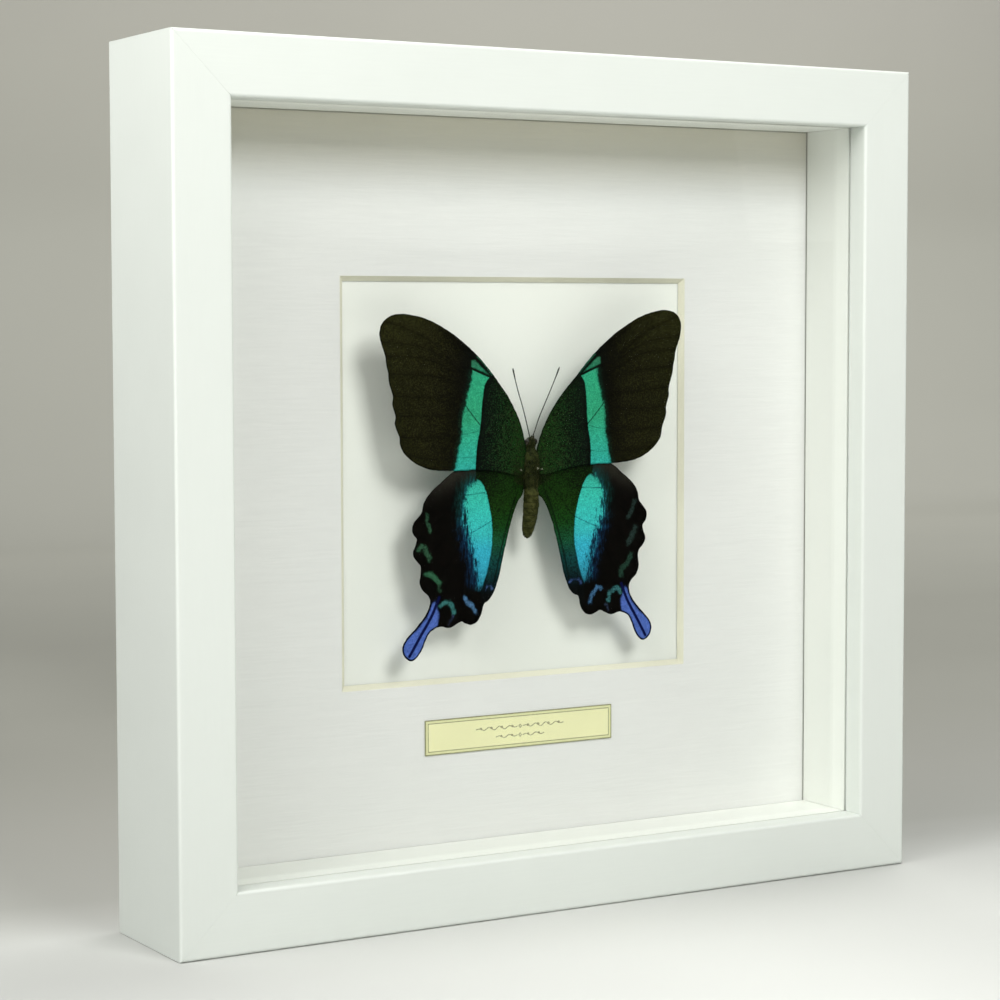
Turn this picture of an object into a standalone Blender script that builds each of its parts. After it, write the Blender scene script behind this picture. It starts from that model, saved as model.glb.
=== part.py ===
"""Deep box frame with a spread swallowtail butterfly.

Metres, +Z up. The front of the frame faces -Y, and the origin is the centre of the
bottom face, where the frame stands. Depths below are measured from the front face.
"""
import math

import bmesh
import bpy
from mathutils import Matrix, Vector

MM = 0.001
GAP = 0.3 * MM

# Frame
SIDE = 250 * MM
DEPTH = 43 * MM
FACE_WIDTH = 17.5 * MM
WALL = 12 * MM
LIP_DEPTH = 7.2 * MM
EDGE_RADIUS = 0.9 * MM
MITRE_GAP = 0.1 * MM

# Layers behind the lip
GLASS_GAP = 0.15 * MM
GLASS_FRONT = LIP_DEPTH + GLASS_GAP
GLASS_THICKNESS = 1.2 * MM
MAT_FRONT = 30 * MM
MAT_THICKNESS = 1.5 * MM
WINDOW = 120.5 * MM
WINDOW_CENTRE_Z = 125.5 * MM
BACKING_THICKNESS = 3 * MM
PANEL_THICKNESS = 3 * MM

# Label on the mat
LABEL_WIDTH = 65.8 * MM
LABEL_HEIGHT = 10.5 * MM
LABEL_CENTRE_Z = 49.4 * MM
LABEL_THICKNESS = 0.25 * MM
LABEL_GAP = 0.1 * MM

# Back fittings
TAB_LENGTH = 12 * MM
TAB_WIDTH = 7 * MM
SHEET_METAL = 0.6 * MM
HANGER_LENGTH = 44 * MM
HANGER_HEIGHT = 9 * MM
HANGER_TEETH = 9
HANGER_Z = 205 * MM

# Specimen: where its thorax sits, and how it leans and tilts
SPECIMEN_X = -1 * MM
SPECIMEN_DEPTH = 19.6 * MM
SPECIMEN_Z = 128 * MM
SPECIMEN_LEAN = math.radians(3.1)
SPECIMEN_TILT = math.radians(-0.74)
WING_THICKNESS = 0.25 * MM
WING_STEP = 0.3 * MM
WING_CREST = 27.0
ROOT_DROP = 2.8
MARGIN_DROP = 1.0
BODY_WIDTH_RATIO = 0.92
ANTENNA_RADIUS = 0.2 * MM
BLOCK_SIDE = 5 * MM
BLOCK_Z = 1 * MM

# Wing outlines: distance from the body's axis and height from the thorax, in millimetres
FOREWING = [
    (3.3, 8.6), (4.8, 15), (8.8, 22), (12.1, 26), (15.6, 30), (20.4, 35), (26.6, 40), (31.4, 43), (36, 45.3),
    (41, 46.8), (45.6, 47.4), (49.2, 46.7), (51.4, 44.8), (52.2, 42.2), (51.6, 38.8), (50.3, 35.2),
    (50, 32.8), (49.4, 30.4), (49.1, 27.8), (47.9, 24), (48, 21.3), (47, 18.1), (47.1, 15.5), (45.6, 11.8),
    (45.5, 10), (44.7, 8), (42.9, 6), (40, 3.9), (35.5, 2.2), (30.5, 1.6), (25, 1.4), (20, 1.4), (12, 0.4),
    (5, -1.2), (3.4, -0.4), (3.3, 3),
]
HINDWING = [
    (3.6, 4.5), (10, 5.5), (18, 4.6), (24.5, 2.6), (28.3, 0.8), (31, -1.3), (34, -3.6), (36.3, -5.9), (37.4, -8),
    (37.9, -10.2), (39.2, -11.8), (40.6, -13.6), (41, -15.2), (40.4, -16.8), (39.4, -18.1), (39.8, -19.9),
    (40.6, -22.1), (39.9, -23.9), (38.1, -26), (38, -28.2), (38.3, -30.7), (37.4, -33.1), (35.7, -34.7),
    (34.8, -36.3), (35, -38.2), (36, -40.2), (38.2, -43), (41, -45.8), (42.9, -47.9), (43.7, -50.1),
    (43, -52.4), (40.9, -53.8), (39, -53), (37.3, -50.7), (36.1, -47.9), (34.9, -45.9), (33.2, -44.8),
    (31.2, -44.3), (29.7, -44.7), (28.1, -44.9), (26.2, -44.1), (24.4, -43.3), (22.9, -43.9), (21, -44.5),
    (19, -43.8), (17.5, -41.8), (16.9, -39.6), (16.4, -38.4), (15.2, -37.9), (13.8, -36.5), (12.6, -34.2),
    (11.3, -30.6), (9.9, -24.9), (8.2, -18.6), (6.5, -13.2), (4.7, -8.8), (3.5, -6.3), (3.4, -1),
]
# Body stations, head to tail: height from the thorax, radius and depth behind the wing plane, in millimetres
BODY = [
    (10.2, 0, 2.6), (9.9, 1.1, 2.6), (9, 1.9, 2.6), (8, 2, 2.7), (7, 1.5, 2.8), (6.2, 2.1, 2.8), (4.2, 2.9, 2.8),
    (1, 3.1, 2.8), (-2.5, 2.7, 2.5), (-4.6, 2.1, 2.1), (-6.5, 2.5, 1.7), (-10, 2.6, 1.7), (-14, 2.4, 2.2),
    (-17, 2.2, 3), (-19.3, 1.6, 3.5), (-20.4, 0, 3.6),
]
# One antenna: distance from the body's axis, height and depth behind the wing plane, in millimetres
ANTENNA = [
    (0.45, 10.5, 2.2), (1.1, 12, 2.1), (2.4, 16, 1.8), (3.95, 20, 1.3), (5.6, 24, 0.9), (7.1, 28, 0.4),
    (8.1, 31, 0),
]


def clear_scene():
    for item in list(bpy.data.objects):
        bpy.data.objects.remove(item, do_unlink=True)


def new_collection(name):
    collection = bpy.data.collections.new(name)
    bpy.context.scene.collection.children.link(collection)
    return collection


def material(name, color, roughness, metallic=0.0):
    made = bpy.data.materials.new(name)
    made.use_nodes = True
    shader = made.node_tree.nodes["Principled BSDF"]
    shader.inputs["Base Color"].default_value = (*color, 1)
    shader.inputs["Roughness"].default_value = roughness
    shader.inputs["Metallic"].default_value = metallic
    return made


def add_object(name, mesh, finish, collection):
    made = bpy.data.objects.new(name, mesh)
    if mesh.materials:
        mesh.materials[0] = finish
    else:
        mesh.materials.append(finish)
    collection.objects.link(made)
    return made


def mesh_from(bm, name):
    """Turn a bmesh into a mesh with its faces pointing out."""
    bmesh.ops.recalc_face_normals(bm, faces=bm.faces)
    mesh = bpy.data.meshes.new(name)
    bm.to_mesh(mesh)
    bm.free()
    return mesh


def smooth(mesh, degrees=30):
    mesh.shade_smooth()
    mesh.set_sharp_from_angle(angle=math.radians(degrees))


def box_mesh(name, low, high):
    low = Vector(low)
    high = Vector(high)
    bm = bmesh.new()
    bmesh.ops.create_cube(bm, size=1, matrix=Matrix.LocRotScale((low + high) / 2, None, high - low))
    return mesh_from(bm, name)


def depth_y(depth):
    """World Y of a depth behind the front face."""
    return depth - DEPTH / 2


def layer_mesh(name, half_width, front, thickness):
    """A square sheet centred in the frame, from a depth to a depth."""
    low = (-half_width, depth_y(front), SIDE / 2 - half_width)
    high = (half_width, depth_y(front + thickness), SIDE / 2 + half_width)
    return box_mesh(name, low, high)


def flat_curve(name, outline, half_thickness):
    """A filled 2D curve in its own XY plane, extruded both ways along Z."""
    curve = bpy.data.curves.new(name, "CURVE")
    curve.dimensions = "2D"
    curve.fill_mode = "BOTH"
    curve.extrude = half_thickness
    spline = curve.splines.new("POLY")
    spline.points.add(len(outline) - 1)
    for point, (x, y) in zip(spline.points, outline):
        point.co = (x, y, 0, 1)
    spline.use_cyclic_u = True
    return curve


def smooth_outline_curve(name, outline):
    """A filled 2D sheet whose edge runs smoothly through the outline's points."""
    curve = bpy.data.curves.new(name, "CURVE")
    curve.dimensions = "2D"
    curve.fill_mode = "BOTH"
    curve.resolution_u = 2
    spline = curve.splines.new("BEZIER")
    spline.bezier_points.add(len(outline) - 1)
    for point, (x, y) in zip(spline.bezier_points, outline):
        point.co = (x, y, 0)
        point.handle_left_type = "AUTO"
        point.handle_right_type = "AUTO"
    spline.use_cyclic_u = True
    return curve


def curve_to_bmesh(curve):
    """Evaluate a curve, weld its caps and return it as a bmesh."""
    holder = bpy.data.objects.new(curve.name, curve)
    bpy.context.scene.collection.objects.link(holder)
    graph = bpy.context.evaluated_depsgraph_get()
    mesh = bpy.data.meshes.new_from_object(holder.evaluated_get(graph))
    bpy.data.objects.remove(holder, do_unlink=True)
    bm = bmesh.new()
    bm.from_mesh(mesh)
    bpy.data.meshes.remove(mesh)
    bmesh.ops.remove_doubles(bm, verts=bm.verts, dist=0.001 * MM)
    return bm


def rounded(outline_corner, toward_a, toward_b, radius, steps=4):
    """Points of a quarter-round in place of a square corner between two directions."""
    corner = Vector(outline_corner)
    along_a = Vector(toward_a)
    along_b = Vector(toward_b)
    centre = corner + (along_a + along_b) * radius
    points = []
    for step in range(steps + 1):
        angle = math.pi / 2 * step / steps
        points.append(centre - along_b * radius * math.cos(angle) - along_a * radius * math.sin(angle))
    return [(point.x, point.y) for point in points]


def rail_profile():
    """Rail section as inward distance and depth, with eased edges at the front and rear."""
    inward = (1, 0)
    outward = (-1, 0)
    back = (0, 1)
    front = (0, -1)
    return [
        *rounded((0, 0), inward, back, EDGE_RADIUS)[::-1],
        *rounded((FACE_WIDTH, 0), back, outward, EDGE_RADIUS)[::-1],
        (FACE_WIDTH, LIP_DEPTH),
        (WALL, LIP_DEPTH),
        (WALL, DEPTH),
        *rounded((0, DEPTH), front, inward, EDGE_RADIUS)[::-1],
    ]


def spacer_profile():
    """Fillet section as inward distance and depth, between the glass and the mat."""
    outer = WALL + GAP
    inner = FACE_WIDTH
    front = GLASS_FRONT + GLASS_THICKNESS + GLASS_GAP
    back = MAT_FRONT - GAP
    return [(outer, front), (inner, front), (inner, back), (outer, back)]


def mitred_bar(name, profile):
    """The bottom bar of a square frame, centred on the frame's middle, cut to 45 degrees at its ends."""
    bm = curve_to_bmesh(flat_curve(name, profile, SIDE / 2 + FACE_WIDTH))
    bmesh.ops.rotate(bm, verts=bm.verts, cent=(0, 0, 0), matrix=Matrix.Rotation(-math.pi / 2, 3, "Y"))
    bmesh.ops.translate(bm, verts=bm.verts, vec=(0, -DEPTH / 2, -SIDE / 2))
    for side in (1, -1):
        normal = Vector((side, 0, 1)).normalized()
        geometry = list(bm.verts) + list(bm.edges) + list(bm.faces)
        bmesh.ops.bisect_plane(
            bm, geom=geometry, plane_co=-normal * MITRE_GAP / 2, plane_no=normal, clear_outer=True)
        cut = [edge for edge in bm.edges if edge.is_boundary]
        bmesh.ops.holes_fill(bm, edges=cut)
    mesh = mesh_from(bm, name)
    smooth(mesh)
    return mesh


def add_square_of_bars(kind, profile, finish, collection):
    """Four mitred bars, each turned a quarter further about the frame's middle."""
    mesh = mitred_bar(kind, profile)
    for quarter, side in enumerate(("bottom", "left", "top", "right")):
        bar = add_object(f"{kind}_{side}", mesh, finish, collection)
        bar.location = (0, 0, SIDE / 2)
        bar.rotation_euler = (0, quarter * math.pi / 2, 0)


def add_layers(collection):
    """Glass, backing board and back panel, from the front to the back."""
    half_width = SIDE / 2 - WALL - GAP
    glass = material("clear_glass", (0.92, 0.96, 0.95), 0.02)
    glass.node_tree.nodes["Principled BSDF"].inputs["Transmission Weight"].default_value = 1
    board = material("white_board", (0.84, 0.86, 0.8), 0.8)
    hardboard = material("hardboard", (0.34, 0.2, 0.1), 0.7)
    backing_front = MAT_FRONT + MAT_THICKNESS + GAP
    panel_front = backing_front + BACKING_THICKNESS + GAP
    layers = (
        ("glass_pane", GLASS_FRONT, GLASS_THICKNESS, glass),
        ("backing_board", backing_front, BACKING_THICKNESS, board),
        ("back_panel", panel_front, PANEL_THICKNESS, hardboard),
    )
    for name, front, thickness, finish in layers:
        add_object(name, layer_mesh(name, half_width, front, thickness), finish, collection)
    return panel_front + PANEL_THICKNESS + GAP


def add_mat(collection, cutters):
    """Card with a square window whose 45 degree bevel opens towards the front."""
    card = material("mat_card", (0.85, 0.82, 0.83), 0.85)
    mat = add_object("mat", layer_mesh("mat", SIDE / 2 - WALL - GAP, MAT_FRONT, MAT_THICKNESS), card, collection)
    overrun = 2 * MM
    half_front = WINDOW / 2 + overrun
    half_back = WINDOW / 2 - MAT_THICKNESS - overrun
    bm = bmesh.new()
    bmesh.ops.create_cone(
        bm, cap_ends=True, segments=4, radius1=half_front * math.sqrt(2), radius2=half_back * math.sqrt(2),
        depth=MAT_THICKNESS + 2 * overrun)
    bmesh.ops.rotate(bm, verts=bm.verts, cent=(0, 0, 0), matrix=Matrix.Rotation(math.pi / 4, 3, "Z"))
    bmesh.ops.rotate(bm, verts=bm.verts, cent=(0, 0, 0), matrix=Matrix.Rotation(-math.pi / 2, 3, "X"))
    cutter = bpy.data.objects.new("window_cutter", mesh_from(bm, "window_cutter"))
    cutters.objects.link(cutter)
    cutter.location = (0, depth_y(MAT_FRONT + MAT_THICKNESS / 2), WINDOW_CENTRE_Z)
    cutter.hide_render = True
    cutter.display_type = "WIRE"
    cut = mat.modifiers.new("window", "BOOLEAN")
    cut.operation = "DIFFERENCE"
    cut.solver = "EXACT"
    cut.object = cutter


def add_label(collection):
    paper = material("label_paper", (0.8, 0.77, 0.53), 0.6)
    back = MAT_FRONT - LABEL_GAP
    low = (-LABEL_WIDTH / 2, depth_y(back - LABEL_THICKNESS), LABEL_CENTRE_Z - LABEL_HEIGHT / 2)
    high = (LABEL_WIDTH / 2, depth_y(back), LABEL_CENTRE_Z + LABEL_HEIGHT / 2)
    add_object("label", box_mesh("label", low, high), paper, collection)


def tab_outline():
    """A strip with one round end, its square end on the left."""
    half = TAB_WIDTH / 2
    end = TAB_LENGTH - half
    points = [(0, -half), (end, -half)]
    for step in range(1, 8):
        angle = -math.pi / 2 + math.pi * step / 8
        points.append((end + half * math.cos(angle), half * math.sin(angle)))
    return points + [(end, half), (0, half)]


def add_tabs(collection, front):
    """One bendable tab at the middle of each rail, lying over the back panel."""
    steel = material("steel", (0.55, 0.54, 0.5), 0.35, 1)
    bm = curve_to_bmesh(flat_curve("tab", tab_outline(), SHEET_METAL / 2))
    bmesh.ops.rotate(bm, verts=bm.verts, cent=(0, 0, 0), matrix=Matrix.Rotation(math.pi / 2, 3, "X"))
    bmesh.ops.translate(bm, verts=bm.verts, vec=(WALL + GAP - SIDE / 2, depth_y(front) + SHEET_METAL / 2, 0))
    mesh = mesh_from(bm, "tab")
    smooth(mesh)
    for quarter, side in enumerate(("left", "top", "right", "bottom")):
        tab = add_object(f"tab_{side}", mesh, steel, collection)
        tab.location = (0, 0, SIDE / 2)
        tab.rotation_euler = (0, quarter * math.pi / 2, 0)
    return steel


def hanger_outline():
    """A strip with a row of teeth along its lower edge."""
    half = HANGER_LENGTH / 2
    toothed = HANGER_LENGTH - 16 * MM
    pitch = toothed / HANGER_TEETH
    points = [(half, 0), (half, HANGER_HEIGHT), (-half, HANGER_HEIGHT), (-half, 0), (-toothed / 2, 0)]
    for tooth in range(HANGER_TEETH):
        start = -toothed / 2 + tooth * pitch
        points.append((start + pitch / 2, pitch / 2))
        points.append((start + pitch, 0))
    return points


def add_hanger(collection, front, steel):
    bm = curve_to_bmesh(flat_curve("hanger", hanger_outline(), SHEET_METAL / 2))
    bmesh.ops.rotate(bm, verts=bm.verts, cent=(0, 0, 0), matrix=Matrix.Rotation(math.pi / 2, 3, "X"))
    bmesh.ops.translate(bm, verts=bm.verts, vec=(0, depth_y(front) + SHEET_METAL / 2, HANGER_Z))
    add_object("hanger", mesh_from(bm, "hanger"), steel, collection)


def wing_drop(distance):
    """Depth of a wing behind its crest, in millimetres, at a distance from the body's axis."""
    if distance < WING_CREST:
        return ROOT_DROP * (1 - distance / WING_CREST) ** 3
    return MARGIN_DROP * ((distance - WING_CREST) / (FOREWING[13][0] - WING_CREST)) ** 2


def wing_mesh(name, outline, side, offset):
    """A thin wing in its own XZ plane, creased in strips so that it arches away from the body."""
    bm = curve_to_bmesh(smooth_outline_curve(name, outline))
    bmesh.ops.dissolve_limit(bm, angle_limit=0.01, verts=bm.verts, edges=bm.edges)
    for cut in (7, 12, 18, 27, 36, 44):
        geometry = list(bm.verts) + list(bm.edges) + list(bm.faces)
        bmesh.ops.bisect_plane(bm, geom=geometry, plane_co=(cut, 0, 0), plane_no=(1, 0, 0))
    bmesh.ops.triangulate(bm, faces=bm.faces)
    for vert in bm.verts:
        distance = vert.co.x
        height = vert.co.y
        vert.co = Vector((side * distance, wing_drop(distance), height)) * MM + Vector((0, offset, 0))
    return mesh_from(bm, name)


def add_wings(collection, axis):
    """Two forewings, each lying over the hindwing of its side."""
    finish = material("wing", (0.02, 0.035, 0.02), 0.5)
    kinds = (("forewing", FOREWING, -WING_STEP), ("hindwing", HINDWING, WING_STEP))
    for kind, outline, offset in kinds:
        for side, sign in (("left", -1), ("right", 1)):
            name = f"{kind}_{side}"
            wing = add_object(name, wing_mesh(name, outline, sign, offset), finish, collection)
            wing.parent = axis
            shell = wing.modifiers.new("thickness", "SOLIDIFY")
            shell.thickness = WING_THICKNESS
            shell.offset = 0


def add_body(collection, axis):
    """Head, thorax and abdomen turned about one line, narrowed sideways and bent to the droop of the abdomen."""
    profile = bmesh.new()
    points = [profile.verts.new((radius * MM, 0, height * MM)) for height, radius, drop in BODY]
    for first, second in zip(points, points[1:]):
        profile.edges.new((first, second))
    mesh = bpy.data.meshes.new("body_profile")
    profile.to_mesh(mesh)
    profile.free()
    holder = bpy.data.objects.new("body_profile", mesh)
    bpy.context.scene.collection.objects.link(holder)
    turn = holder.modifiers.new("turn", "SCREW")
    turn.steps = 20
    turn.render_steps = 20
    turn.use_merge_vertices = True
    turn.merge_threshold = 0.00001
    graph = bpy.context.evaluated_depsgraph_get()
    turned = bpy.data.meshes.new_from_object(holder.evaluated_get(graph))
    bpy.data.objects.remove(holder, do_unlink=True)
    for vert in turned.vertices:
        drop = body_drop(vert.co.z / MM) * MM
        vert.co = (vert.co.x * BODY_WIDTH_RATIO, vert.co.y + drop, vert.co.z)
    smooth(turned, 60)
    finish = material("body_fur", (0.045, 0.04, 0.02), 0.7)
    body = add_object("butterfly_body", turned, finish, collection)
    body.parent = axis


def body_drop(height):
    """Depth of the body's line behind the wing plane at a height, in millimetres."""
    for (high, _, drop_high), (low, _, drop_low) in zip(BODY, BODY[1:]):
        if height >= low:
            share = (height - low) / (high - low)
            return drop_low + (drop_high - drop_low) * min(share, 1)
    return BODY[-1][2]


def add_antennae(collection, axis):
    """Two thin rods with a small club at the tip, each a tube along one curve."""
    finish = material("antenna", (0.02, 0.016, 0.01), 0.4)
    for side, sign in (("left", -1), ("right", 1)):
        curve = bpy.data.curves.new(f"antenna_{side}", "CURVE")
        curve.dimensions = "3D"
        curve.bevel_depth = ANTENNA_RADIUS
        curve.bevel_resolution = 2
        curve.use_fill_caps = True
        spline = curve.splines.new("POLY")
        spline.points.add(len(ANTENNA) - 1)
        for point, (distance, height, drop) in zip(spline.points, ANTENNA):
            point.co = (sign * distance * MM, drop * MM, height * MM, 1)
        spline.points[-1].radius = 1.6
        antenna = bpy.data.objects.new(f"antenna_{side}", curve)
        curve.materials.append(finish)
        collection.objects.link(antenna)
        antenna.parent = axis


def add_specimen_block(collection):
    """Foam block between the backing board and the underside of the thorax."""
    foam = material("foam", (0.8, 0.8, 0.76), 0.9)
    front = SPECIMEN_DEPTH + 6.2 * MM
    back = MAT_FRONT + MAT_THICKNESS
    low = (SPECIMEN_X - BLOCK_SIDE / 2, depth_y(front), SPECIMEN_Z + BLOCK_Z - BLOCK_SIDE / 2)
    high = (SPECIMEN_X + BLOCK_SIDE / 2, depth_y(back), SPECIMEN_Z + BLOCK_Z + BLOCK_SIDE / 2)
    add_object("specimen_block", box_mesh("specimen_block", low, high), foam, collection)


def add_specimen(collection):
    """The butterfly hangs on an empty at its thorax, which carries its lean and tilt."""
    axis = bpy.data.objects.new("specimen_axis", None)
    collection.objects.link(axis)
    axis.location = (SPECIMEN_X, depth_y(SPECIMEN_DEPTH), SPECIMEN_Z)
    axis.rotation_euler = (SPECIMEN_LEAN, SPECIMEN_TILT, 0)
    add_wings(collection, axis)
    add_body(collection, axis)
    add_antennae(collection, axis)
    add_specimen_block(collection)


def main():
    clear_scene()
    collection = new_collection("framed_butterfly")
    cutters = new_collection("cutters")
    lacquer = material("white_lacquer", (0.86, 0.88, 0.85), 0.32)
    fillet = material("white_fillet", (0.86, 0.88, 0.85), 0.5)
    add_square_of_bars("rail", rail_profile(), lacquer, collection)
    add_square_of_bars("spacer", spacer_profile(), fillet, collection)
    fittings_front = add_layers(collection)
    add_mat(collection, cutters)
    add_label(collection)
    steel = add_tabs(collection, fittings_front)
    add_hanger(collection, fittings_front, steel)
    add_specimen(collection)


main()
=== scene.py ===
import math
import random

import bpy
import numpy as np
from mathutils import Euler, Matrix, Vector, geometry, noise


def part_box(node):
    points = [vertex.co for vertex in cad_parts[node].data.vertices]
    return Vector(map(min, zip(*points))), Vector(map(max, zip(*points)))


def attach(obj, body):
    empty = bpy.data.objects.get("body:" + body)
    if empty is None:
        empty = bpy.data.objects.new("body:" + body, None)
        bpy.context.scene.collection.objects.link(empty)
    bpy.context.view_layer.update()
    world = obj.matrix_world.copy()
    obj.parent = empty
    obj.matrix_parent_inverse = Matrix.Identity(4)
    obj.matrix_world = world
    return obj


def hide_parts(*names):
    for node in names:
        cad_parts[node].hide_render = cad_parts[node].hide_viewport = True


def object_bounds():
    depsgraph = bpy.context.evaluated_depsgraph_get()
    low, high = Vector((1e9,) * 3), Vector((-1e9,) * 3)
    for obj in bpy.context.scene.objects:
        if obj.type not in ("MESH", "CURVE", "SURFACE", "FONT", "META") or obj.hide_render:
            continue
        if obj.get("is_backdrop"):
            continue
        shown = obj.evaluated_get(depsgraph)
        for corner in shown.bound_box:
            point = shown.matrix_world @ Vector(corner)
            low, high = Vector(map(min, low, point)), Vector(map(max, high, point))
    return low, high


MM = 0.001
MILLIMETRES = Matrix.Diagonal((MM, MM, MM, 1))
SEED = 11

# Specimen frame: the spread wings lie in a plane of their own, leaned and tilted a little inside the box
SPECIMEN_LEAN = 3.1
SPECIMEN_TILT = -0.74
BLOCK_STANDOFF = 6.2 * MM
BLOCK_RISE = 1 * MM

# Wings and the lines on them, in millimetres: distance from the body's axis and height from the thorax
WING_SKIN = 0.13
WING_STEP = 0.3
WING_CREST = 27
WING_TIP = 52.2
ROOT_DROP = 2.8
MARGIN_DROP = 1.0
GRID = 0.42
FOREWING = [
    (2.0, 7.4), (4.6, 15), (8.8, 22), (12.1, 26), (15.6, 30), (20.4, 35), (26.6, 40), (31.4, 43),
    (36, 45.3), (41, 46.8), (45.6, 47.4), (49.2, 46.7), (51.4, 44.8), (52.2, 42.2), (51.6, 38.8),
    (50.3, 35.2), (50, 32.8), (49.4, 30.4), (49.1, 27.8), (47.9, 24), (48, 21.3), (47, 18.1),
    (47.1, 15.5), (45.6, 11.8), (45.5, 10), (44.7, 8), (42.9, 6), (40, 3.9), (35.5, 2.2), (30.5, 1.6),
    (25, 1.4), (20, 1.4), (12, 0.4), (5, -1.2), (2.2, -0.6), (1.9, 3),
]
HINDWING = [
    (2.3, 4.3), (10, 5.5), (18, 4.6), (24.5, 2.6), (28.3, 0.8), (31, -1.3), (34, -3.6), (36.3, -5.9),
    (37.4, -8), (37.9, -10.2), (39.2, -11.8), (40.6, -13.6), (41, -15.2), (40.4, -16.8), (39.4, -18.1),
    (39.8, -19.9), (40.6, -22.1), (39.9, -23.9), (38.1, -26), (38, -28.2), (38.3, -30.7), (37.4, -33.1),
    (35.7, -34.7), (34.8, -36.3), (35, -38.2), (36, -40.2), (38.2, -43), (41, -45.8), (42.9, -47.9),
    (43.7, -50.1), (43, -52.4), (40.9, -53.8), (39, -53), (37.3, -50.7), (36.1, -47.9), (34.9, -45.9),
    (33.2, -44.8), (31.2, -44.3), (29.7, -44.7), (28.1, -44.9), (26.2, -44.1), (24.4, -43.3),
    (22.9, -43.9), (21, -44.5), (19, -43.8), (17.5, -41.8), (16.9, -39.6), (16.4, -38.4), (15.2, -37.9),
    (13.8, -36.5), (12.6, -34.2), (11.3, -30.6), (9.9, -24.9), (8.2, -18.6), (6.5, -13.2), (4.4, -8.8),
    (2.4, -6.3), (2.0, -1),
]

# Forewing band between its inner and outer edge, and the streaks above it
FW_INNER = [
    (15.8, 28.4), (17.2, 26.5), (17.8, 23.5), (18.2, 20), (18.4, 16.5), (18.65, 14.4), (18.85, 12.6),
    (19.2, 11), (19.7, 8), (19.95, 4.5), (20.05, 0.5),
]
FW_OUTER = [
    (21.9, 30.2), (22.2, 27), (23.1, 24.5), (23.7, 21.7), (24.5, 19.5), (25, 16), (25.1, 13), (25.3, 10.5),
    (26.1, 8), (26.5, 5), (27, 3), (28.2, 0.5),
]
FW_TOP = [(12, 27.2), (15.5, 28.3), (22.7, 31.2), (27, 33)]
FW_STREAK = [(15.9, 28.95), (22.5, 31.7), (22.4, 33.7), (21.2, 33.8), (16.7, 29.7)]
FW_COSTAL = [(15, 29.4), (17.6, 32.2), (20.3, 34.7)]
FW_CELL = [(4, 3), (12, 8.5), (18.8, 14.3), (25, 21.5), (26.5, 24.5)]
FW_VEINS = [
    [(12, 8.5), (20, 5.6), (27, 5.4), (36, 5.3), (43.5, 6.7)],
    [(18.8, 13.3), (22, 12.4), (27, 12.1), (36, 11.5), (45.6, 12)],
    [(23, 19), (27, 18.5), (36, 17.8), (47.1, 18.2)],
    [(26, 23), (36, 23.2), (47.9, 24)],
    [(27, 27.5), (37, 29.5), (49.2, 30.3)],
    [(27, 30), (38, 34.5), (50.3, 35.4)],
    [(27, 31.5), (38, 37.5), (51.8, 39.5)],
    [(27, 31.5), (37, 40), (50.5, 45.5)],
    [(3.5, 8), (8, 18), (13, 25.5), (17, 29.3), (22.5, 31.2), (27, 31.5), (26.5, 24.5)],
    [(3.5, 8.5), (14, 28), (21, 34.2), (33, 42.8)],
]

# Hindwing band, veins and the marks along its margin
HW_INNER = [
    (20.4, -1.2), (18.5, -2.2), (17.1, -4.5), (16.1, -7.3), (15.3, -10.5), (14.6, -14), (14.35, -18),
    (14.5, -22), (15.5, -27), (16.7, -31), (18.2, -35),
]
HW_OUTER = [
    (20.4, -1.2), (22.2, -2.5), (23.6, -4.2), (24.2, -7), (24.1, -10), (23.8, -13.5), (23, -17),
    (21.6, -20.5), (20.5, -24.5), (19.6, -28.5), (19.2, -32.5), (18.8, -35),
]
HW_DARK_VEINS = [
    [(24.5, -5.9), (16.8, -5.5)],
    [(14.2, -13.9), (20.8, -16.9), (23.5, -17.6)],
]
HW_VEINS = [
    [(15.5, -6), (19.5, -9)],
    [(3.5, 2), (16.8, -5.5)],
    [(3.5, -3), (9, -7.5), (14.2, -13.9)],
    [(24, -6), (39.4, -18)],
    [(23.5, -13), (38.1, -26)],
    [(23, -17), (34.8, -36.3)],
    [(21.5, -18.5), (28, -29), (33.6, -37)],
    [(19.5, -19), (24.4, -43.3)],
    [(15, -15), (16.5, -38.4)],
    [(5, -6), (12.6, -34.2)],
]
HW_FOLD = [(5.6, -7.5), (7.2, -11.5), (8.6, -16), (10, -20.5), (11.4, -25.5), (12.8, -31.5), (13.2, -33)]
BAND_SHIFT = {("fore", -1): 0.4, ("fore", 1): -0.4, ("hind", -1): -0.45, ("hind", 1): 0.35}
TAIL_RIB = [(31.9, -35.6), (33.0, -38.2), (34.6, -41.5), (38.1, -47), (41.4, -52.4)]
TAIL_BLUE = [
    (33.3, -36.0), (34.4, -37.2), (36, -41), (39, -44.4), (44, -47.5), (45, -55), (38, -56), (33, -46),
    (31.9, -43.8), (31.5, -40.4), (32.4, -38.4),
]

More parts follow.
